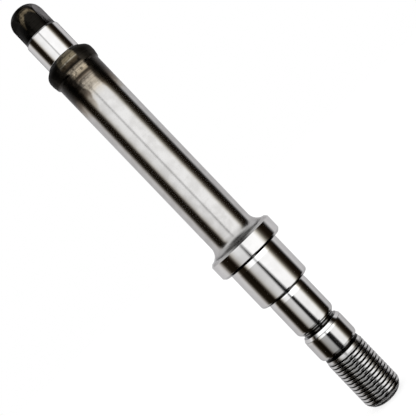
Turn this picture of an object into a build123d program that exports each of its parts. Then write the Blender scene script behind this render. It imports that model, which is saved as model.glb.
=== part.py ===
"""Stepped drive shaft turned from one bar: left-hand thread at one end, hexagon at the other.

Frame: the origin is the centre of the threaded end face and +Z runs along the axis to the hexagon.
All sizes are in millimetres. The thread is held at its major diameter.
"""
import os
from math import sqrt

from build123d import *

# Threaded end with its rounded nose, and the relief beside the outer seat
thread_d = 16.0
thread_length = 24.6
nose_d = 9.4
nose_length = 3.4
nose_radius = 5.0
thread_back_length = 1.9
thread_back_drop = 0.45
relief_d = 13.7
relief_width = 1.0

# Outer bearing seat, between the relief and the neck
seat_d = 17.0
outer_seat_length = 10.25
relief_chamfer_length = 0.8
relief_chamfer_drop = 0.5
lead_in_length = 1.2
lead_in_drop = 0.12
neck_chamfer_length = 0.95
neck_chamfer_drop = 0.7

# Narrow neck between the two bearing seats
neck_d = 13.2
neck_width = 1.2

# Inner bearing seat, relieved by a slight taper and a root round at the shoulder of the large seat
inner_seat_length = 17.1
inner_chamfer_length = 1.35
inner_chamfer_drop = 1.3
inner_chamfer_round = 2.0
inner_taper_length = 2.45
inner_taper_drop = 0.18
inner_root_round = 0.5

# Large seat below the flange
large_seat_d = 22.0
large_seat_length = 17.3
large_seat_round = 1.15

# Flange
flange_d = 28.0
flange_length = 7.5
flange_bottom_chamfer = 0.9
flange_top_chamfer = 0.9
flange_top_land = 0.1

# Long shank, with the fillet that carries the flange
shank_d = 18.6
shank_length = 83.85
shank_fillet = 4.5

# Collar between the shank and the pilot
collar_d = 20.4
collar_step_drop = 0.35
collar_step_length = 0.55
collar_taper_length = 2.15
collar_land_length = 2.85
collar_cone_length = 2.25
collar_round = 3.0

# Cylindrical pilot
pilot_d = 14.6
pilot_length = 12.15
pilot_chamfer_length = 0.85

# Hexagonal drive end, milled on a turned blank
hex_across_flats = 12.0
hex_blank_d = 13.6
hex_length = 12.1
hex_flat_direction = 37.8
hex_runout_radius = 1.3
hex_end_round = 5.4

# Radii of the steps
nose_r = nose_d / 2
thread_r = thread_d / 2
relief_r = relief_d / 2
seat_r = seat_d / 2
neck_r = neck_d / 2
inner_root_r = seat_r - inner_taper_drop
large_seat_r = large_seat_d / 2
flange_r = flange_d / 2
shank_r = shank_d / 2
collar_r = collar_d / 2
pilot_r = pilot_d / 2
hex_blank_r = hex_blank_d / 2

# Heights of the shoulders above the threaded end face
relief_z = thread_length
outer_seat_z = relief_z + relief_width
neck_z = outer_seat_z + outer_seat_length
inner_seat_z = neck_z + neck_width
large_seat_z = inner_seat_z + inner_seat_length
flange_z = large_seat_z + large_seat_length
shank_z = flange_z + flange_length
collar_z = shank_z + shank_length
collar_taper_z = collar_z + collar_step_length
collar_land_z = collar_taper_z + collar_taper_length
collar_cone_z = collar_land_z + collar_land_length
pilot_z = collar_cone_z + collar_cone_length
hex_z = pilot_z + pilot_length
top_z = hex_z + hex_length

# The fillet ends at the land on the flange, or where it has turned level if the flange is wider
fillet_end_r = min(flange_r - flange_top_chamfer - flange_top_land, shank_r + shank_fillet)
fillet_rise = sqrt(shank_fillet**2 - (shank_r + shank_fillet - fillet_end_r) ** 2)


def ring(radius, height):
    """Circular edge of the shaft with this radius at this height."""
    circles = stepped_shaft.edges().filter_by(GeomType.CIRCLE)
    return circles.filter_by(
        lambda edge: abs(edge.radius - radius) < 0.001 and abs(edge.arc_center.Z - height) < 0.001
    )


# Milling cutter that leaves one flat, with the round that it leaves beside the pilot
flat_r = hex_across_flats / 2
cut_depth = hex_blank_r
with BuildPart() as flat_cutter:
    with BuildSketch(Plane.XY.offset(hex_z)):
        with Locations((flat_r, 0)):
            Rectangle(cut_depth, 2 * hex_blank_d, align=(Align.MIN, Align.CENTER))
    extrude(amount=2 * hex_length)
    fillet(flat_cutter.edges().filter_by(Axis.Y).group_by(Axis.Z)[0].sort_by(Axis.X)[0], hex_runout_radius)

with BuildPart() as stepped_shaft:
    with BuildSketch(Plane.XZ):
        with BuildLine():
            Line((0, 0), (nose_r, 0))
            RadiusArc((nose_r, 0), (thread_r, nose_length), -nose_radius)
            Polyline(
                # thread and relief
                (thread_r, nose_length),
                (thread_r, relief_z - thread_back_length),
                (thread_r - thread_back_drop, relief_z),
                (relief_r, relief_z),
                (relief_r, outer_seat_z),
                # outer seat
                (seat_r - relief_chamfer_drop, outer_seat_z),
                (seat_r, outer_seat_z + relief_chamfer_length),
                (seat_r, neck_z - neck_chamfer_length - lead_in_length),
                (seat_r - lead_in_drop, neck_z - neck_chamfer_length),
                (seat_r - lead_in_drop - neck_chamfer_drop, neck_z),
                # neck
                (neck_r, neck_z),
                (neck_r, inner_seat_z),
                # inner seat
                (seat_r - inner_chamfer_drop, inner_seat_z),
                (seat_r, inner_seat_z + inner_chamfer_length),
                (seat_r, large_seat_z - inner_taper_length),
                (inner_root_r, large_seat_z),
                # large seat and flange
                (large_seat_r, large_seat_z),
                (large_seat_r, flange_z),
                (flange_r - flange_bottom_chamfer, flange_z),
                (flange_r, flange_z + flange_bottom_chamfer),
                (flange_r, shank_z - flange_top_chamfer),
                (flange_r - flange_top_chamfer, shank_z),
                (fillet_end_r, shank_z),
            )
            RadiusArc((fillet_end_r, shank_z), (shank_r, shank_z + fillet_rise), shank_fillet)
            Polyline(
                # shank and collar
                (shank_r, shank_z + fillet_rise),
                (shank_r, collar_z),
                (collar_r - collar_step_drop, collar_taper_z),
                (collar_r, collar_land_z),
                (collar_r, collar_cone_z),
                # pilot and blank of the hexagon
                (pilot_r, pilot_z),
                (pilot_r, hex_z - pilot_chamfer_length),
                (hex_blank_r, hex_z),
                (hex_blank_r, top_z),
                (0, top_z),
                (0, 0),
            )
        make_face()
    revolve(axis=Axis.Z)

    # Rounds on the edges
    fillet(ring(seat_r, inner_seat_z + inner_chamfer_length), inner_chamfer_round)
    fillet(ring(inner_root_r, large_seat_z), inner_root_round)
    fillet(ring(large_seat_r, large_seat_z), large_seat_round)
    fillet(ring(collar_r, collar_cone_z), collar_round)
    fillet(ring(hex_blank_r, top_z), hex_end_round)

    # Six flats
    with PolarLocations(0, 6, start_angle=hex_flat_direction):
        add(flat_cutter.part, mode=Mode.SUBTRACT)

os.makedirs("parts", exist_ok=True)
stepped_shaft.part.label = "stepped_shaft"
export_step(stepped_shaft.part, "parts/stepped_shaft.step")
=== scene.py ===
"""Dressed stepped shaft: cut thread, milled hexagon, ground and heat-darkened steel, in a white studio."""
import math

import bmesh
import bpy
import numpy as np
from mathutils import Matrix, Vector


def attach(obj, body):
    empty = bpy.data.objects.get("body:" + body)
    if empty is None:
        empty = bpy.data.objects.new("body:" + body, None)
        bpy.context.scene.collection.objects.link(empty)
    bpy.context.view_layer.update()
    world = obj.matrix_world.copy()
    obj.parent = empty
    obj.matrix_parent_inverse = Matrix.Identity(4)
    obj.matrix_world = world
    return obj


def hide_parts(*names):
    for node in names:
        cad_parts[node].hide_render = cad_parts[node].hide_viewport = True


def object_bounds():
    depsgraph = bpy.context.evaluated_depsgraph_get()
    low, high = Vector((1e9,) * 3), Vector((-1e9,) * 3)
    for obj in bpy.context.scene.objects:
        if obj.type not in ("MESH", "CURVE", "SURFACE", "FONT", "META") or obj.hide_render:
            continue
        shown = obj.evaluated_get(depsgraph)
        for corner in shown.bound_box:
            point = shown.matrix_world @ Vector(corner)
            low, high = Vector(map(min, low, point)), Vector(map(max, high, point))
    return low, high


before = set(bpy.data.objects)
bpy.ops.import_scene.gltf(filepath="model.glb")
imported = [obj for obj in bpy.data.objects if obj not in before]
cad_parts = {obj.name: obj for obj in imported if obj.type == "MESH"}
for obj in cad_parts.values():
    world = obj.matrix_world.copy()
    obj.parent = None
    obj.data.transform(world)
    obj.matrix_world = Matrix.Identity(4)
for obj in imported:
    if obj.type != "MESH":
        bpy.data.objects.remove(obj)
cad_low, cad_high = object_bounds()
shaft_height = cad_high.z - cad_low.z

MM_PER_M = 1000

# ---------------------------------------------------------------- sizes of the shaft, in millimetres

# Left-hand thread with its rounded nose and its run-out at the relief
THREAD_PITCH = 1.5
THREAD_CREST_R = 8.0
THREAD_DEPTH = 0.6
THREAD_CREST_SHARE = 0.5
THREAD_ROOT_SHARE = 0.06
THREAD_START_Z = 22.3
THREAD_FADE_FROM_Z = 22.6
THREAD_FADE_TO_Z = 23.5
ROWS_PER_PITCH = 14
NOSE_FACE_R = 4.7
NOSE_R = 5.0
NOSE_Z = 3.4
THREAD_BACK_FROM_Z = 22.7
THREAD_BACK_Z = 23.2
THREAD_BACK_R = 7.75
THREAD_BACK_END_R = 7.55
RELIEF_Z = 24.6
THREAD_ROWS_END_Z = RELIEF_Z - 0.05

# Hexagon
HEX_APOTHEM = 6.0
HEX_BLANK_R = 6.8
HEX_Z = 182.75
HEX_RUNOUT_R = 1.3
HEX_DIRECTION = 37.8
HEX_END_ROUND = 5.4
TOP_Z = 194.85

# Turned form from the relief to the flange: height, radius, round of the corner
LOWER_TURNED = [
    (24.6, 7.55, 0.12),
    (24.6, 6.85, 0.2),
    (25.6, 6.85, 0.2),
    (25.6, 8.0, 0.1),
    (25.9, 8.28, 0.15),
    (26.7, 8.5, 0.3),
    (33.6, 8.5, 0.2),
    (34.48, 8.38, 0.05),
    (34.58, 8.3, 0.03),
    (34.7, 8.46, 0.05),
    (35.85, 7.65, 0.12),
    (35.85, 6.6, 0.25),
    (37.05, 6.6, 0.25),
    (37.05, 7.2, 0.1),
    (38.4, 8.5, 2.0),
    (51.7, 8.5, 1.0),
    (53.3, 8.4, 0.3),
    (54.15, 8.32, 0.5),
    (54.15, 11.0, 1.15),
    (69.35, 11.0, 1.0),
    (71.45, 10.94, 0.15),
    (71.45, 13.1, 0.12),
    (72.35, 14.0, 0.3),
    (78.05, 14.0, 0.2),
    (78.955, 13.1, 0.12),
]

# Fillet from the flange up to the shank, and the turned form from there to the end of the hexagon
SHANK_R = 9.3
FILLET_R = 4.5
FILLET_END_Z = 83.4
FILLET_SWEEP = 81.0
FILLET_ROWS = 24
UPPER_TURNED = [
    (162.75, 9.3, 0.15),
    (163.3, 9.85, 0.12),
    (165.5, 10.2, 0.5),
    (168.35, 10.2, 3.0),
    (170.6, 7.3, 0.3),
    (181.9, 7.3, 0.25),
    (182.75, 6.8, 0.1),
    (194.85, 6.8, HEX_END_ROUND),
    (TOP_Z, 0.0, 0.0),
]

# Facets of the rounds, stations of the nose, and lines round each sixth of the shaft
ROUND_STEP = 0.35
ROUND_STEP_ANGLE = math.radians(18)
NOSE_ROWS = 40
LINES_PER_FLAT = 31

# Largest angles that are shaded smooth on the hexagon and on the threaded end's face
HEX_SMOOTH = math.radians(18)
END_FACE_SMOOTH = math.radians(30)


# ---------------------------------------------------------------- the turned profile

def rounded(points, step):
    """Stations along a polyline of (z, r, round), each corner an arc, with loops that hold the flats."""
    stations = []
    last = len(points) - 1
    for i, (z, r, radius) in enumerate(points):
        here = np.array((z, r))
        if i in (0, last) or radius == 0:
            stations.append(here)
            continue
        before = np.array(points[i - 1][:2]) - here
        after = np.array(points[i + 1][:2]) - here
        before, after = before / np.linalg.norm(before), after / np.linalg.norm(after)
        half = math.acos(float(np.clip(before @ after, -1, 1))) / 2
        cut = radius / math.tan(half)
        centre = here + (before + after) / np.linalg.norm(before + after) * radius / math.sin(half)
        turn = math.pi - 2 * half
        parts = max(2, int(math.ceil(turn * max(radius, 0.2) / step)))
        parts = max(parts, int(math.ceil(turn / ROUND_STEP_ANGLE)))
        start, end = here + before * cut - centre, here + after * cut - centre
        hold = min(0.06, 0.2 * cut)
        stations.append(centre + start + before * hold)
        for k in range(parts + 1):
            t = k / parts
            spot = (math.sin((1 - t) * turn) * start + math.sin(t * turn) * end) / math.sin(turn)
            stations.append(centre + spot)
        stations.append(centre + end + after * hold)
    return stations


def nose_arc(count):
    """Stations of the rounded nose, from its flat face out to the thread's crest."""
    a, b = np.array((0.0, NOSE_FACE_R)), np.array((NOSE_Z, THREAD_CREST_R))
    middle, chord = (a + b) / 2, b - a
    half = np.linalg.norm(chord) / 2
    inward = np.array((chord[1], -chord[0])) / (2 * half)
    centre = middle + inward * math.sqrt(NOSE_R ** 2 - half ** 2)
    start, end = (math.atan2(*(p - centre)[::-1]) for p in (a, b))
    sweep = np.linspace(start, end, count)
    return [centre + NOSE_R * np.array((math.cos(t), math.sin(t))) for t in sweep]


NOSE = nose_arc(NOSE_ROWS)


def envelope(z):
    """Radius of the threaded end before its groove is cut."""
    zs = [p[0] for p in NOSE] + [THREAD_BACK_FROM_Z, THREAD_BACK_Z, RELIEF_Z]
    rs = [p[1] for p in NOSE] + [THREAD_CREST_R, THREAD_BACK_R, THREAD_BACK_END_R]
    return float(np.interp(z, zs, rs))


def profile():
    """Stations (z, r) of the whole shaft, from its nose to the end of the hexagon."""
    stations = [np.array((0.0, r)) for r in (2.0, 4.0, NOSE_FACE_R - 0.1)]
    rows = np.arange(0.0, THREAD_ROWS_END_Z, THREAD_PITCH / ROWS_PER_PITCH)
    stations += [np.array((z, envelope(z))) for z in rows]
    sweep = np.radians(np.linspace(FILLET_SWEEP, 0, FILLET_ROWS))
    fillet_zs = FILLET_END_Z - FILLET_R * np.sin(sweep)
    fillet_rs = SHANK_R + FILLET_R * (1 - np.cos(sweep))
    fillet = [(z, r, 0) for z, r in zip(fillet_zs, fillet_rs)]
    before_relief = (RELIEF_Z - 0.5, envelope(RELIEF_Z - 0.5), 0)
    stations += rounded([before_relief] + LOWER_TURNED + fillet + UPPER_TURNED, ROUND_STEP)[1:-1]
    return stations + [np.array((TOP_Z, r)) for r in (0.9, 0.45)]


def lines_round():
    """Directions of the lines, which meet the hexagon's corners and the edges of its narrow lands."""
    land = 30 - math.degrees(math.acos(HEX_APOTHEM / HEX_BLANK_R))
    sector = [0.0] + list(np.linspace(land, 60 - land, LINES_PER_FLAT))
    return np.radians([HEX_DIRECTION - 30 + 60 * k + a for k in range(6) for a in sector])


def groove(z, turn):
    """Depth of the left-hand thread's groove at this height and direction."""
    toward_x = turn + math.pi / 2
    phase = (z - THREAD_START_Z) / THREAD_PITCH + toward_x / (2 * math.pi)
    away = np.abs(phase - np.round(phase)) * 2
    flank = np.clip((1 - THREAD_CREST_SHARE - away) / (1 - THREAD_CREST_SHARE - THREAD_ROOT_SHARE), 0, 1)
    fade = np.clip((THREAD_FADE_TO_Z - z) / (THREAD_FADE_TO_Z - THREAD_FADE_FROM_Z), 0, 1)
    return THREAD_DEPTH * flank * fade


def flats(z, turn):
    """Distance from the axis to the milled flats in this direction."""
    off = (np.degrees(turn) - HEX_DIRECTION + 30) % 60 - 30
    rise = max(HEX_RUNOUT_R - (z - HEX_Z), 0.0)
    distance = HEX_APOTHEM + HEX_RUNOUT_R - math.sqrt(HEX_RUNOUT_R ** 2 - rise ** 2)
    return distance / np.cos(np.radians(off))


def smooth_limit(edge):
    """Largest angle at which this edge is shaded smooth; where none is set, all are."""
    if min(v.co.z for v in edge.verts) > (HEX_Z + 0.01) / MM_PER_M:
        return HEX_SMOOTH
    if max(v.co.z for v in edge.verts) < 0.05 / MM_PER_M:
        return END_FACE_SMOOTH
    return math.pi


def shaft_mesh():
    """Closed mesh of the shaft, which also keeps the depth of the thread's groove at each point."""
    turns = lines_round()
    rings, depths = [], []
    for z, r in profile():
        radius = np.full(len(turns), float(r))
        depth = np.zeros(len(turns))
        if z < THREAD_ROWS_END_Z and r > NOSE_FACE_R:
            depth = groove(z, turns)
            radius = np.minimum(radius, THREAD_CREST_R - depth)
        if z > HEX_Z - 0.001:
            radius = np.minimum(radius, flats(z, turns))
        depths.append(depth)
        rings.append(np.stack([radius * np.cos(turns), radius * np.sin(turns), np.full(len(turns), z)], 1))
    points = np.concatenate(rings) / MM_PER_M
    around = len(turns)
    here = np.arange(around)
    beside = (here + 1) % around
    quads = []
    for k in range(len(rings) - 1):
        low, high = k * around, (k + 1) * around
        quads += np.stack([low + here, low + beside, high + beside, high + here], 1).tolist()
    bottom, top = len(points), len(points) + 1
    last = (len(rings) - 1) * around
    fans = [[bottom, b, a] for a, b in zip(here.tolist(), beside.tolist())]
    fans += [[top, last + a, last + b] for a, b in zip(here.tolist(), beside.tolist())]
    points = points.tolist() + [[0, 0, 0], [0, 0, TOP_Z / MM_PER_M]]
    mesh = bpy.data.meshes.new("stepped_shaft_dressed")
    mesh.from_pydata(points, [], quads + fans)
    bm = bmesh.new()
    bm.from_mesh(mesh)
    bmesh.ops.recalc_face_normals(bm, faces=bm.faces)
    for edge in bm.edges:
        edge.smooth = edge.calc_face_angle(0) < smooth_limit(edge)
    bm.to_mesh(mesh)
    bm.free()
    grooved = mesh.attributes.new("groove_depth", "FLOAT", "POINT")
    grooved.data.foreach_set("value", np.concatenate(depths + [[0.0, 0.0]]).astype(np.float32))
    return mesh


def add_object(name, data):
    """New object in the scene."""
    made = bpy.data.objects.new(name, data)
    bpy.context.collection.objects.link(made)
    return made


shaft = add_object("stepped_shaft_dressed", shaft_mesh())
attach(shaft, "root")
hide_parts("stepped_shaft")


# ---------------------------------------------------------------- node helpers

class Graph:
    """Short ways to add the nodes of one tree."""

    def __init__(self, tree):
        self.tree = tree
        tree.nodes.clear()

    def node(self, kind, **values):
        made = self.tree.nodes.new(kind)
        for name, value in values.items():
            setattr(made, name, value)
        return made

    def feed(self, socket, value):
        """Link a socket, or set a constant on it."""
        if isinstance(value, bpy.types.NodeSocket):
            self.tree.links.new(value, socket)
        else:
            socket.default_value = value

    def math(self, operation, a, b=0.0, c=0.0, clamp=False):
        made = self.node("ShaderNodeMath", operation=operation, use_clamp=clamp)
        for socket, value in zip(made.inputs, (a, b, c)):
            self.feed(socket, value)
        return made.outputs[0]

    def times(self, first, *others):
        """Product of all values."""
        for other in others:
            first = self.math("MULTIPLY", first, other)
        return first

    def less(self, value):
        """What is left of 1."""
        return self.math("SUBTRACT", 1.0, value)

    def absolute(self, value):
        """Value without its sign."""
        return self.math("ABSOLUTE", value)

    def largest(self, first, *others):
        for other in others:
            first = self.math("MAXIMUM", first, other)
        return first

    def ramp(self, value, low, high):
        """0 at low, 1 at high, soft at both ends."""
        made = self.node("ShaderNodeMapRange", interpolation_type="SMOOTHSTEP")
        for name, item in (("Value", value), ("From Min", low), ("From Max", high)):
            self.feed(made.inputs[name], item)
        return made.outputs[0]

    def band(self, value, start, end, soft):
        """1 between start and end, with soft edges."""
        rise = self.ramp(value, start - soft, start + soft)
        fall = self.ramp(value, end - soft, end + soft)
        return self.math("SUBTRACT", rise, fall, clamp=True)

    def curve(self, value, stops):
        """Colours by position along 0 to 1."""
        made = self.node("ShaderNodeValToRGB")
        elements = made.color_ramp.elements
        while len(elements) < len(stops):
            elements.new(0.5)
        for element, (position, _) in zip(elements, stops):
            element.position = position
        for element, (_, colour) in zip(elements, stops):
            element.color = (*colour, 1)
        self.feed(made.inputs[0], value)
        return made.outputs[0]

    def mix(self, factor, a, b, blend="MIX"):
        """Colour between a and b."""
        made = self.node("ShaderNodeMix", data_type="RGBA", blend_type=blend)
        self.feed(made.inputs[0], factor)
        self.feed(made.inputs[6], a if isinstance(a, bpy.types.NodeSocket) else (*a, 1))
        self.feed(made.inputs[7], b if isinstance(b, bpy.types.NodeSocket) else (*b, 1))
        return made.outputs[2]

    def tint(self, a, b):
        """Product of two colours."""
        return self.mix(1.0, a, b, "MULTIPLY")

    def blend(self, factor, a, b):
        """Number between a and b."""
        made = self.node("ShaderNodeMix", data_type="FLOAT")
        for socket, value in zip((made.inputs[0], made.inputs[2], made.inputs[3]), (factor, a, b)):
            self.feed(socket, value)
        return made.outputs[0]

    def noise(self, place, scale, detail, roughness, stretch=(1, 1, 1)):
        mapping = self.node("ShaderNodeMapping")
        self.feed(mapping.inputs["Vector"], place)
        mapping.inputs["Scale"].default_value = stretch
        made = self.node("ShaderNodeTexNoise")
        self.feed(made.inputs["Vector"], mapping.outputs[0])
        made.inputs["Scale"].default_value = scale
        made.inputs["Detail"].default_value = detail
        made.inputs["Roughness"].default_value = roughness
        return made.outputs[0]

    def place(self):
        """The object's own coordinates, whole and as x, y and z."""
        whole = self.node("ShaderNodeTexCoord").outputs["Object"]
        split = self.node("ShaderNodeSeparateXYZ")
        self.feed(split.inputs[0], whole)
        return whole, *split.outputs

    def from_front(self, x, y):
        """Direction round the axis in degrees, 0 at the front and positive towards +X."""
        return self.math("MULTIPLY", self.math("ARCTAN2", x, self.math("MULTIPLY", y, -1)), 180 / math.pi)

    def from_axis(self, x, y):
        """Distance from the axis."""
        return self.math("SQRT", self.math("ADD", self.math("POWER", x, 2.0), self.math("POWER", y, 2.0)))

    def show(self, surface):
        """Hand a shader's output to the material or the world."""
        kind = "World" if isinstance(surface.node, bpy.types.ShaderNodeBackground) else "Material"
        self.feed(self.node("ShaderNodeOutput" + kind).inputs["Surface"], surface)


def new_material(name):
    material = bpy.data.materials.new(name)
    material.use_nodes = True
    return material, Graph(material.node_tree)


# ---------------------------------------------------------------- steel
# Bands along the shaft are in millimetres from the threaded end: from, to and softness. Directions round it
# are in degrees, 0 in front and positive towards +X. A pair says where something sets in and is complete.

# Noises over the surface: scale, detail, roughness, and the stretch where they aren't even
GRAIN_NOISE = (1.0, 3, 0.6, (60, 60, 9000))
RINGS_NOISE = (1.0, 2, 0.5, (40, 40, 2600))
MOTTLE_NOISE = (260, 5, 0.6)
BROAD_NOISE = (110, 3, 0.5)
BLOTCH_NOISE = (430, 4, 0.65)

# Clean steel: ground on the seats, satin on the shank and the collar, greyer in patches
GROUND_COLOUR = (0.70, 0.695, 0.692)
SATIN_COLOUR = (0.575, 0.569, 0.563)
SATIN_BAND = (78.2, 170.6, 0.3)
PATCH_COLOUR = (0.42, 0.412, 0.402)
PATCH_EDGE = (0.62, 0.36)
PATCH_SHARE = 0.15
PATCH_MORE_ON_SATIN = 0.3

# Painted highlight: a lighter colour on the outer seat's lead-in and chamfer, and on the ends of the inner
# and large seats, in front and behind but not on the sides
PAINTED_HIGHLIGHT_COLOUR = (0.92, 0.92, 0.92)
PAINTED_HIGHLIGHT_BANDS = [
    (33.65, 34.45, 0.08),
    (34.72, 35.75, 0.05),
    (51.75, 53.95, 0.08),
    (69.4, 71.3, 0.08),
]
UNHIGHLIGHTED_SIDES = (50.0, 130.0, 3.0)

# Heat scale along the shaft: what it leaves of the clean steel's colour, where it is thin and between. In the
# windows it also holds a painted highlight line on the collar's land and painted shade in the corner at the
# pilot
SCALE_FROM, SCALE_TO = 146.0, 196.0
SCALE_AND_PAINTED_LINES_IN_WINDOWS = [
    (149.5, (1.00, 1.00, 1.00)),
    (151.6, (0.94, 0.92, 0.88)),
    (153.4, (0.86, 0.80, 0.71)),
    (154.9, (0.60, 0.54, 0.45)),
    (157.0, (0.54, 0.48, 0.40)),
    (158.4, (0.32, 0.28, 0.23)),
    (159.2, (0.22, 0.18, 0.14)),
    (159.9, (0.05, 0.04, 0.03)),
    (160.3, (0.05, 0.04, 0.03)),
    (160.9, (0.50, 0.42, 0.31)),
    (161.8, (0.72, 0.62, 0.47)),
    (162.75, (0.66, 0.57, 0.44)),
    (163.3, (0.62, 0.54, 0.42)),
    (163.4, (0.30, 0.26, 0.20)),
    (163.8, (0.20, 0.17, 0.13)),
    (164.1, (0.02, 0.018, 0.015)),
    (164.6, (0.03, 0.024, 0.018)),
    (165.6, (0.085, 0.065, 0.042)),
    (166.25, (0.11, 0.088, 0.058)),
    # Painted highlight: a thin light line on the collar's land
    (166.4, (0.52, 0.48, 0.40)),
    (166.6, (0.52, 0.48, 0.40)),
    (166.75, (0.30, 0.255, 0.175)),
    (170.2, (0.38, 0.325, 0.225)),
    # Painted shade: a black line in the inside corner at the pilot
    (170.45, (0.01, 0.009, 0.008)),
]
SCALE_BETWEEN = [
    (147.0, (1.00, 1.00, 1.00)),
    (149.7, (0.72, 0.68, 0.62)),
    (151.5, (0.44, 0.39, 0.33)),
    (153.4, (0.25, 0.21, 0.17)),
    (155.2, (0.12, 0.10, 0.08)),
    (158.8, (0.05, 0.042, 0.035)),
    (162.5, (0.09, 0.078, 0.065)),
    (164.3, (0.07, 0.062, 0.053)),
    (167.0, (0.03, 0.026, 0.022)),
    (170.5, (0.012, 0.010, 0.008)),
]
SCALED = (151.0, 158.0)

# Windows in which the scale is thin: their number round the shaft, their edges, and where one narrows
WINDOWS_ROUND = 3
WINDOW_WAVERS_BY = 48.0
WINDOW_TURNED_BY = -31.0
WINDOW_EDGE = (0.15, 0.6)
WINDOW_NARROWS_BY = 0.5
WINDOW_NARROWS_ROUND = (16.0, 34.0)
WINDOW_NARROWS_ALONG = (158.0, 161.0)

# How far the scale wavers along the shank, its streaks, and its blots, which are thicker towards -X
SCALE_WAVERS_BY = 8.0
SCALE_WAVERS_ALONG = (160.0, 157.0)
STREAK_LOW = 0.3
STREAK_GAIN = 1.4
BLOT_EDGE = (0.27, 0.5)
BLOT_TONE = 0.3
CLEAR_TONE = 1.1
THICKER_BY = 0.2
THICKER_ROUND = (6.0, -22.0)

# The pilot is bright between the scaled collar and hexagon; the front of its chamfer is left clean of scale
# as a painted highlight
PILOT_BAND = (170.6, 181.85, 0.05)
CHAMFER_HIGHLIGHT_BAND = (181.8, 182.5, 0.05)
CHAMFER_HIGHLIGHT_ROUND = (30.0, 24.0)

# Heat scale on the hexagon: black flats, a lighter dome with a brown edge beside it, and a flat worn grey
HEX_SCALED = (176.0, 176.1)
HEX_BLACK = (0.011, 0.010, 0.0085)
HEX_DOME = (0.045, 0.037, 0.025)
HEX_DOME_EDGE = (0.25, 0.0)
HEX_DOME_SHARE = 0.2
HEX_DOME_MORE_IN_WINDOWS = 0.8
HEX_BROWN = (0.14, 0.114, 0.074)
HEX_BROWN_START = (0.2, 1.0)
HEX_BROWN_END = (-0.5, 0.5)
HEX_BROWN_WAVERS_BY = 2.2
HEX_BROWN_WIDTH = 1.7
HEX_BROWN_WIDER_BY = 2.0
HEX_BROWN_WIDER_ROUND = (8.0, -20.0)
HEX_BROWN_ROUND = (-24.0, 34.0, 5.0)
HEX_GREY = (0.27, 0.26, 0.262)
HEX_GREY_ROUND = (37.8, 97.8, 0.5)
HEX_GREY_ALONG = (183.4, 193.0, 1.4)
HEX_GREY_END = (-0.2, 0.3)

# Painted shade, a dark colour in the recesses: depths of the thread's groove and the most that lies there,
# then bands with their amounts
PAINTED_SHADE_COLOUR = (0.012, 0.011, 0.010)
GROOVE_SHADE = (0.02, 0.34)
GROOVE_SHADE_MOST = 0.96
PAINTED_SHADE_BANDS = [
    (22.3, 23.25, 0.1, 0.45),
    (24.2, 25.63, 0.03, 1.0),
    (34.5, 34.68, 0.04, 0.75),
    (35.82, 36.5, 0.06, 1.0),
    (36.5, 37.2, 0.06, 0.75),
    (53.8, 54.3, 0.06, 0.9),
    (71.25, 71.5, 0.04, 0.9),
]
# Painted shade in the corner between flange and fillet lies in front and behind, and the sides are left
# unshaded
CORNER_SHADE_BANDS = [
    (78.9, 79.75, 0.3, 0.62),
    (79.0, 82.6, 0.9, 0.25),
]
CORNER_UNSHADED_SIDES = (36.0, 144.0, 12.0)

# Roughness of ground steel, and what the satin finish, the grain, the scale and the thread add to it
GROUND_ROUGHNESS = 0.05
SATIN_ROUGHNESS = 0.07
GRAIN_ROUGHNESS = 0.05
SCALE_ROUGHNESS = 0.12
THREAD_ROUGHNESS = 0.12
# The collar and the flange's fillet are rougher still
ROUGHER_BANDS = [
    (163.5, 170.6, 0.3, 0.16),
    (78.6, 81.8, 0.9, 0.08),
]

# Less metallic: the collar's step where the scale is thin, and the nose
STEP_OXIDE_BAND = (162.7, 163.35, 0.05)
STEP_OXIDE = 0.65
NOSE_OXIDE_ALONG = (2.8, 1.8)
NOSE_OXIDE = 0.3
# Less bright at grazing angles: the scaled collar and hexagon
COLLAR_RIM_BAND = (163.3, 170.6, 0.2)
COLLAR_RIM = 0.35
HEX_RIM_ALONG = (182.5, 183.0)
HEX_RIM = 0.3
# Bump of the grain
BUMP_DEPTH = 0.00002
BUMP_STRENGTH = 0.03
BUMP_MORE_ON_SATIN = 0.05


def clean_steel_and_highlight(g, z, facing, mottle, satin):
    """Colour of the bare steel, with a painted highlight on some seat ends in front and behind."""
    colour = g.mix(satin, GROUND_COLOUR, SATIN_COLOUR)
    share = g.math("MULTIPLY_ADD", satin, PATCH_MORE_ON_SATIN, PATCH_SHARE)
    colour = g.mix(g.times(g.ramp(mottle, *PATCH_EDGE), share), colour, PATCH_COLOUR)
    # Painted highlight: lighter colour on the seat ends, in front and behind only
    highlighted = g.largest(*(g.band(z, *band) for band in PAINTED_HIGHLIGHT_BANDS))
    sides = g.band(g.absolute(facing), *UNHIGHLIGHTED_SIDES)
    return g.mix(g.times(highlighted, g.less(sides)), colour, PAINTED_HIGHLIGHT_COLOUR)


def scale_windows(g, z, facing, broad):
    """1 where the heat scale is thin."""
    wavering = g.math("ADD", facing, g.math("MULTIPLY_ADD", broad, WINDOW_WAVERS_BY, WINDOW_TURNED_BY))
    window = g.math("COSINE", g.times(wavering, math.radians(WINDOWS_ROUND)))
    narrows = g.times(g.ramp(facing, *WINDOW_NARROWS_ROUND), g.ramp(z, *WINDOW_NARROWS_ALONG))
    return g.ramp(g.math("SUBTRACT", window, g.times(narrows, WINDOW_NARROWS_BY)), *WINDOW_EDGE)


def scale_and_painted_lines_tint(g, z, mottle, window):
    """What the heat scale leaves of the clean steel on the shank and the collar, with a painted highlight
    line and a painted shade line on the collar.
    """
    span = SCALE_TO - SCALE_FROM
    shift = g.times(g.math("SUBTRACT", mottle, 0.5), g.ramp(z, *SCALE_WAVERS_ALONG))
    along = g.math("MULTIPLY_ADD", shift, SCALE_WAVERS_BY, z)
    along = g.math("MULTIPLY_ADD", along, 1 / span, -SCALE_FROM / span)
    between, in_windows = (
        g.curve(along, [((height - SCALE_FROM) / span, tone) for height, tone in stops])
        for stops in (SCALE_BETWEEN, SCALE_AND_PAINTED_LINES_IN_WINDOWS)
    )
    return g.mix(window, between, in_windows)


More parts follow.
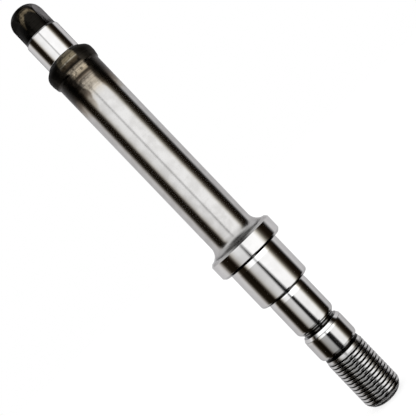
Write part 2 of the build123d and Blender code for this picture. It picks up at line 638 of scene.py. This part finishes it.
def hexagon_tint(g, x, y, z, facing, mottle, window):
    """What the heat scale leaves of the clean steel on the hexagon."""
    across = g.math("SUBTRACT", g.times(g.from_axis(x, y), MM_PER_M), HEX_BLANK_R - HEX_END_ROUND)
    arch = g.math("SUBTRACT", HEX_END_ROUND ** 2, g.math("POWER", across, 2.0))
    arch = g.math("ADD", g.math("SQRT", g.largest(arch, 0.0)), TOP_Z - HEX_END_ROUND)
    below_dome = g.math("SUBTRACT", arch, z)

    dome = g.math("MULTIPLY_ADD", window, HEX_DOME_MORE_IN_WINDOWS, HEX_DOME_SHARE)
    colour = g.mix(g.times(g.ramp(below_dome, *HEX_DOME_EDGE), dome), HEX_BLACK, HEX_DOME)

    below = g.math("MULTIPLY_ADD", g.math("SUBTRACT", mottle, 0.5), HEX_BROWN_WAVERS_BY, below_dome)
    wider = g.times(g.ramp(facing, *HEX_BROWN_WIDER_ROUND), HEX_BROWN_WIDER_BY)
    width = g.math("ADD", wider, HEX_BROWN_WIDTH)
    past = g.ramp(g.math("SUBTRACT", below, width), *HEX_BROWN_END)
    brown = g.times(g.ramp(below, *HEX_BROWN_START), g.less(past), g.band(facing, *HEX_BROWN_ROUND))
    colour = g.mix(brown, colour, HEX_BROWN)

    grey = g.times(g.band(facing, *HEX_GREY_ROUND), g.band(z, *HEX_GREY_ALONG))
    return g.mix(g.times(grey, g.ramp(below_dome, *HEX_GREY_END)), colour, HEX_GREY)


def painted_shade_amount(g, z, facing):
    """Painted shade in the thread's groove, the relief, the neck, the shoulders' roots and the flange's
    corner.
    """
    depth = g.node("ShaderNodeAttribute", attribute_name="groove_depth").outputs["Fac"]
    in_groove = g.times(g.ramp(depth, *GROOVE_SHADE), GROOVE_SHADE_MOST)
    in_bands = (g.times(g.band(z, *band), amount) for *band, amount in PAINTED_SHADE_BANDS)
    in_corner = g.math("ADD", *(g.times(g.band(z, *band), amount) for *band, amount in CORNER_SHADE_BANDS))
    in_corner = g.times(in_corner, g.less(g.band(g.absolute(facing), *CORNER_UNSHADED_SIDES)))
    return g.largest(in_groove, in_corner, *in_bands)


def steel_material():
    """Ground and satin steel with heat scale at the drive end, painted highlights on some ends and edges, and
    painted shade in its grooves and corners.
    """
    material, g = new_material("ground_steel_finish")
    place, x, y, along = g.place()
    z = g.times(along, MM_PER_M)
    facing = g.from_front(x, y)

    grain = g.noise(place, *GRAIN_NOISE)
    rings = g.noise(place, *RINGS_NOISE)
    mottle = g.noise(place, *MOTTLE_NOISE)
    broad = g.noise(place, *BROAD_NOISE)
    blotches = g.noise(place, *BLOTCH_NOISE)
    satin = g.band(z, *SATIN_BAND)
    window = scale_windows(g, z, facing, broad)

    # Painted highlight: the front of the pilot's chamfer is kept clean of scale
    chamfer_highlight = g.times(g.band(z, *CHAMFER_HIGHLIGHT_BAND), g.ramp(g.absolute(facing), *CHAMFER_HIGHLIGHT_ROUND))
    pilot = g.largest(g.band(z, *PILOT_BAND), chamfer_highlight)
    scaled = g.times(g.ramp(z, *SCALED), g.less(pilot))

    thicker = g.times(g.ramp(facing, *THICKER_ROUND), THICKER_BY)
    blots = g.ramp(g.math("SUBTRACT", blotches, thicker), *BLOT_EDGE)
    streaks = g.math("MULTIPLY_ADD", rings, STREAK_GAIN, STREAK_LOW)
    streaks = g.tint(g.blend(blots, BLOT_TONE, CLEAR_TONE), streaks)
    on_shank = scale_and_painted_lines_tint(g, z, mottle, window)
    on_hexagon = hexagon_tint(g, x, y, z, facing, mottle, window)
    scale = g.tint(g.mix(g.ramp(z, *HEX_SCALED), on_shank, on_hexagon), g.blend(scaled, 1.0, streaks))

    colour = g.tint(clean_steel_and_highlight(g, z, facing, mottle, satin), g.mix(pilot, scale, (1.0, 1.0, 1.0)))
    # Painted shade: dark colour laid into the thread's groove, the recesses and the corners
    colour = g.mix(painted_shade_amount(g, z, facing), colour, PAINTED_SHADE_COLOUR)

    rough = g.math("MULTIPLY_ADD", satin, SATIN_ROUGHNESS, GROUND_ROUGHNESS)
    rough = g.math("MULTIPLY_ADD", grain, GRAIN_ROUGHNESS, rough)
    rough = g.math("MULTIPLY_ADD", scaled, SCALE_ROUGHNESS, rough)
    rough = g.math("MULTIPLY_ADD", g.ramp(z, RELIEF_Z, RELIEF_Z - 0.1), THREAD_ROUGHNESS, rough)
    for *band, amount in ROUGHER_BANDS:
        rough = g.math("MULTIPLY_ADD", g.band(z, *band), amount, rough)

    oxide = g.times(g.band(z, *STEP_OXIDE_BAND), window, STEP_OXIDE)
    oxide = g.math("MULTIPLY_ADD", g.ramp(z, *NOSE_OXIDE_ALONG), NOSE_OXIDE, oxide)
    rim = g.times(g.band(z, *COLLAR_RIM_BAND), COLLAR_RIM)
    rim = g.largest(rim, g.times(g.ramp(z, *HEX_RIM_ALONG), HEX_RIM))

    bump = g.node("ShaderNodeBump")
    g.feed(bump.inputs["Strength"], g.math("MULTIPLY_ADD", satin, BUMP_MORE_ON_SATIN, BUMP_STRENGTH))
    bump.inputs["Distance"].default_value = BUMP_DEPTH
    g.feed(bump.inputs["Height"], grain)

    shader = g.node("ShaderNodeBsdfPrincipled")
    g.feed(shader.inputs["Base Color"], colour)
    g.feed(shader.inputs["Metallic"], g.less(oxide))
    g.feed(shader.inputs["Specular Tint"], g.mix(rim, (1.0, 1.0, 1.0), (0.0, 0.0, 0.0)))
    g.feed(shader.inputs["Roughness"], rough)
    g.feed(shader.inputs["Normal"], bump.outputs[0])
    g.show(shader.outputs[0])
    return material


shaft.data.materials.append(steel_material())


# ---------------------------------------------------------------- studio: floor

# Reach from the axis in metres, strength of the glow, and its share beside diffuse white
FLOOR_REACH = 4.0
FLOOR_GLOW = 1.1
FLOOR_GLOW_SHARE = 0.72


def floor_material():
    """White to the camera and in reflections, with a share of diffuse white that takes the shaft's shadow."""
    material, g = new_material("floor_white")
    rays = g.node("ShaderNodeLightPath")
    seen = g.math("ADD", rays.outputs["Is Camera Ray"], rays.outputs["Is Glossy Ray"])
    seen = g.math("ADD", seen, rays.outputs["Is Transmission Ray"], clamp=True)
    paint = g.node("ShaderNodeBsdfDiffuse")
    paint.inputs["Color"].default_value = (1, 1, 1, 1)
    glow = g.node("ShaderNodeEmission")
    glow.inputs["Color"].default_value = (1, 1, 1, 1)
    glow.inputs["Strength"].default_value = FLOOR_GLOW
    mixed = g.node("ShaderNodeMixShader")
    g.feed(mixed.inputs[0], g.times(seen, FLOOR_GLOW_SHARE))
    g.feed(mixed.inputs[1], paint.outputs[0])
    g.feed(mixed.inputs[2], glow.outputs[0])
    g.show(mixed.outputs[0])
    return material


def plane(name, reach, z):
    """Level square that isn't part of the shaft."""
    mesh = bpy.data.meshes.new(name)
    corners = [(-reach, -reach, z), (reach, -reach, z), (reach, reach, z), (-reach, reach, z)]
    mesh.from_pydata(corners, [], [(0, 1, 2, 3)])
    made = add_object(name, mesh)
    return made


floor = plane("floor", FLOOR_REACH, cad_low.z)
floor.data.materials.append(floor_material())
floor.visible_glossy = False


# ---------------------------------------------------------------- studio: tent of panels and flags

# Sizes and heights of the tent are in metres
TENT_R = 0.4
TENT_LOW, TENT_HIGH = -0.4, 1.2
TENT_SIDES = 128

# Direction round the shaft from the front, towards +X positive, and the light that comes from there
PANELS = [
    (-180, (0.78, 0.78, 0.80)),
    (-150, (0.64, 0.63, 0.64)),
    (-125, (0.76, 0.75, 0.76)),
    (-111, (0.82, 0.81, 0.81)),
    (-102, (0.74, 0.72, 0.71)),
    (-96, (0.40, 0.37, 0.34)),
    (-89, (0.08, 0.07, 0.055)),
    (-83, (0.014, 0.010, 0.006)),
    (-60, (0.010, 0.007, 0.004)),
    (-55, (0.034, 0.024, 0.016)),
    (-50, (0.26, 0.235, 0.20)),
    (-45, (0.72, 0.69, 0.64)),
    (-38, (1.06, 1.05, 1.03)),
    (-28, (1.24, 1.24, 1.24)),
    (-12, (1.30, 1.30, 1.30)),
    (4, (1.42, 1.42, 1.42)),
    (46, (1.42, 1.42, 1.42)),
    (53, (1.04, 1.01, 0.95)),
    (59, (0.45, 0.42, 0.36)),
    (65, (0.12, 0.107, 0.085)),
    (72, (0.034, 0.024, 0.016)),
    (79, (0.011, 0.007, 0.004)),
    (98, (0.009, 0.006, 0.004)),
    (103, (0.14, 0.14, 0.14)),
    (107, (0.46, 0.45, 0.45)),
    (113, (0.77, 0.76, 0.77)),
    (132, (0.70, 0.69, 0.70)),
    (155, (0.62, 0.61, 0.62)),
]
# The colour ramp holds values up to 1, so the panels go into it divided by this
LIGHT_SCALE = 1.5

# The left front panel: its edges, and its lean in degrees per metre, up to a height
LEFT_PANEL_EDGES = ((4.0, -4.0), (-75.0, -60.0))
LEFT_PANEL_LEAN = 14.0
LEFT_PANEL_LEAN_TOP = 0.2
# Heights between which the front panels fall off, and by how much
LEFT_FALLS = [(0.075, 0.035, 0.3), (0.0, -0.09, 0.42)]
RIGHT_FALL = (0.06, -0.08, 0.16)

# The camera's stand: a dark wedge in front, which widens and drifts downwards
STAND_DIRECTION = -1.7
STAND_DRIFT = 80.0
STAND_DRIFT_LOWEST = -0.08
STAND_WIDTH = 3.5
STAND_WIDTH_AT = 0.048
STAND_WIDENS_BY = 95.0
STAND_WIDEST = 14.0
STAND_SOFT = 5.5
STAND_TOP = (0.085, 0.045)
STAND_DARK = 0.985
# The thin gap between the front panels
GAP_DIRECTION = -4.6
GAP_EDGE = (6.5, 1.0)
GAP_DARK = 0.5

# Soft light above the flags, bright in front, dimmer behind and dark overhead. Tilts are in degrees above
# the horizon, as seen from the axis at this height
TILT_FROM_Z = 0.08
SOFT_TILT = (40.0, 56.0)
SOFT_FRONT = (0.90, 0.90, 0.90)
SOFT_BACK = (0.46, 0.46, 0.46)
SOFT_BACK_ROUND = (60.0, 115.0)
OVERHEAD_TILT = (54.0, 84.0)
OVERHEAD_LEFT = 0.04
# Straight behind it is darker from lower down, and the table is black behind the shaft and nearly so in front
BEHIND_TILT = (14.0, 28.0)
BEHIND_ROUND = (145.0, 168.0)
BEHIND_DARK = 0.85
TABLE_BACK_TILT = (-34.0, -44.0)
TABLE_BACK_Y = (-0.06, 0.0)
TABLE_FRONT_TILT = (-40.0, -52.0)
TABLE_FRONT_ROUND = (75.0, 55.0)
TABLE_FRONT_DARK = 0.9


def front_panels(g, degrees, z):
    """Where the leaning left panel is, and how much both front panels fall off."""
    left = g.times(*(g.ramp(degrees, *edge) for edge in LEFT_PANEL_EDGES))
    left_fall = g.math("ADD", *(g.times(g.ramp(z, *heights), amount) for *heights, amount in LEFT_FALLS))
    *heights, amount = RIGHT_FALL
    right_fall = g.times(g.ramp(z, *heights), amount)
    return left, g.blend(left, right_fall, left_fall)


def front_gap(g, degrees, z):
    """How much the camera's stand and the gap between the panels take away."""
    half_width = g.math("MULTIPLY_ADD", g.math("SUBTRACT", STAND_WIDTH_AT, z), STAND_WIDENS_BY, STAND_WIDTH)
    half_width = g.math("MINIMUM", g.largest(half_width, 0.0), STAND_WIDEST)
    off = g.math("SUBTRACT", degrees, STAND_DIRECTION)
    off = g.absolute(g.math("MULTIPLY_ADD", g.largest(z, STAND_DRIFT_LOWEST), STAND_DRIFT, off))
    stand = g.ramp(off, g.math("ADD", half_width, STAND_SOFT), g.math("SUBTRACT", half_width, STAND_SOFT))
    stand = g.times(stand, g.ramp(z, *STAND_TOP), STAND_DARK)
    gap = g.times(g.ramp(g.absolute(g.math("SUBTRACT", degrees, GAP_DIRECTION)), *GAP_EDGE), GAP_DARK)
    return g.largest(stand, gap)


def tent_material():
    """Panels, black flags and grey screens round the shaft, seen only by its reflections."""
    material, g = new_material("studio_cards")
    _, x, y, z = g.place()
    degrees = g.from_front(x, y)
    side = g.absolute(degrees)
    tilt = g.math("ARCTAN2", g.math("SUBTRACT", z, TILT_FROM_Z), g.from_axis(x, y))
    tilt = g.times(tilt, 180 / math.pi)

    left, fall = front_panels(g, degrees, z)
    lean = g.times(left, g.math("MINIMUM", z, LEFT_PANEL_LEAN_TOP))
    along = g.math("MULTIPLY_ADD", g.math("MULTIPLY_ADD", lean, LEFT_PANEL_LEAN, degrees), 1 / 360, 0.5)
    stops = [((turn + 180) / 360, tuple(c / LIGHT_SCALE for c in colour)) for turn, colour in PANELS]
    panels = g.curve(along, stops)
    strength = g.times(g.less(fall), g.less(front_gap(g, degrees, z)), LIGHT_SCALE)

    high = g.ramp(tilt, *SOFT_TILT)
    light = g.mix(high, panels, g.mix(g.ramp(side, *SOFT_BACK_ROUND), SOFT_FRONT, SOFT_BACK))
    strength = g.blend(high, strength, LIGHT_SCALE)
    overhead = g.blend(g.ramp(tilt, *OVERHEAD_TILT), 1.0, OVERHEAD_LEFT)
    behind = g.times(g.ramp(side, *BEHIND_ROUND), g.ramp(tilt, *BEHIND_TILT), BEHIND_DARK)
    table_back = g.times(g.ramp(y, *TABLE_BACK_Y), g.ramp(tilt, *TABLE_BACK_TILT))
    table_front = g.times(g.ramp(tilt, *TABLE_FRONT_TILT), g.ramp(side, *TABLE_FRONT_ROUND), TABLE_FRONT_DARK)
    strength = g.times(strength, overhead, g.less(behind), g.less(g.largest(table_back, table_front)))

    glow = g.node("ShaderNodeEmission")
    g.feed(glow.inputs["Color"], light)
    g.feed(glow.inputs["Strength"], strength)
    g.show(glow.outputs[0])
    material.cycles.emission_sampling = "NONE"
    return material


def tent(radius, low, high, count):
    """Closed drum round the shaft."""
    mesh = bpy.data.meshes.new("studio_cards")
    around = [2 * math.pi * k / count for k in range(count)]
    points = [(radius * math.sin(a), -radius * math.cos(a), z) for z in (low, high) for a in around]
    faces = [(k, (k + 1) % count, count + (k + 1) % count, count + k) for k in range(count)]
    faces += [tuple(range(count)), tuple(range(count, 2 * count))]
    mesh.from_pydata(points, [], faces)
    mesh.materials.append(tent_material())
    made = add_object("studio_cards", mesh)
    made.visible_camera = False
    made.visible_diffuse = False
    made.visible_shadow = False
    made.visible_transmission = False


tent(TENT_R, TENT_LOW, TENT_HIGH, TENT_SIDES)

scene = bpy.context.scene
scene.world = bpy.data.worlds.new("studio_white")
scene.world.use_nodes = True
sky = Graph(scene.world.node_tree)
background = sky.node("ShaderNodeBackground")
background.inputs["Color"].default_value = (1, 1, 1, 1)
background.inputs["Strength"].default_value = 1.0
sky.show(background.outputs[0])

# ---------------------------------------------------------------- camera

# Level with the middle of the shaft, in front of it, and rolled so that the shaft lies across the picture
ROLL = math.radians(43.773)
LENS = 69.23
SPOT = (0.000744, -1.49982, 0.487452)

camera = add_object("camera", bpy.data.cameras.new("camera"))
camera.data.sensor_width = 36
camera.data.lens = LENS
right = (math.cos(ROLL), 0, -math.sin(ROLL))
up = (math.sin(ROLL), 0, math.cos(ROLL))
back = (0, -1, 0)
rows = [(right[k], up[k], back[k], SPOT[k] * shaft_height) for k in range(3)] + [(0, 0, 0, 1)]
camera.matrix_world = Matrix(rows)
scene.camera = camera
scene.view_settings.view_transform = "Standard"
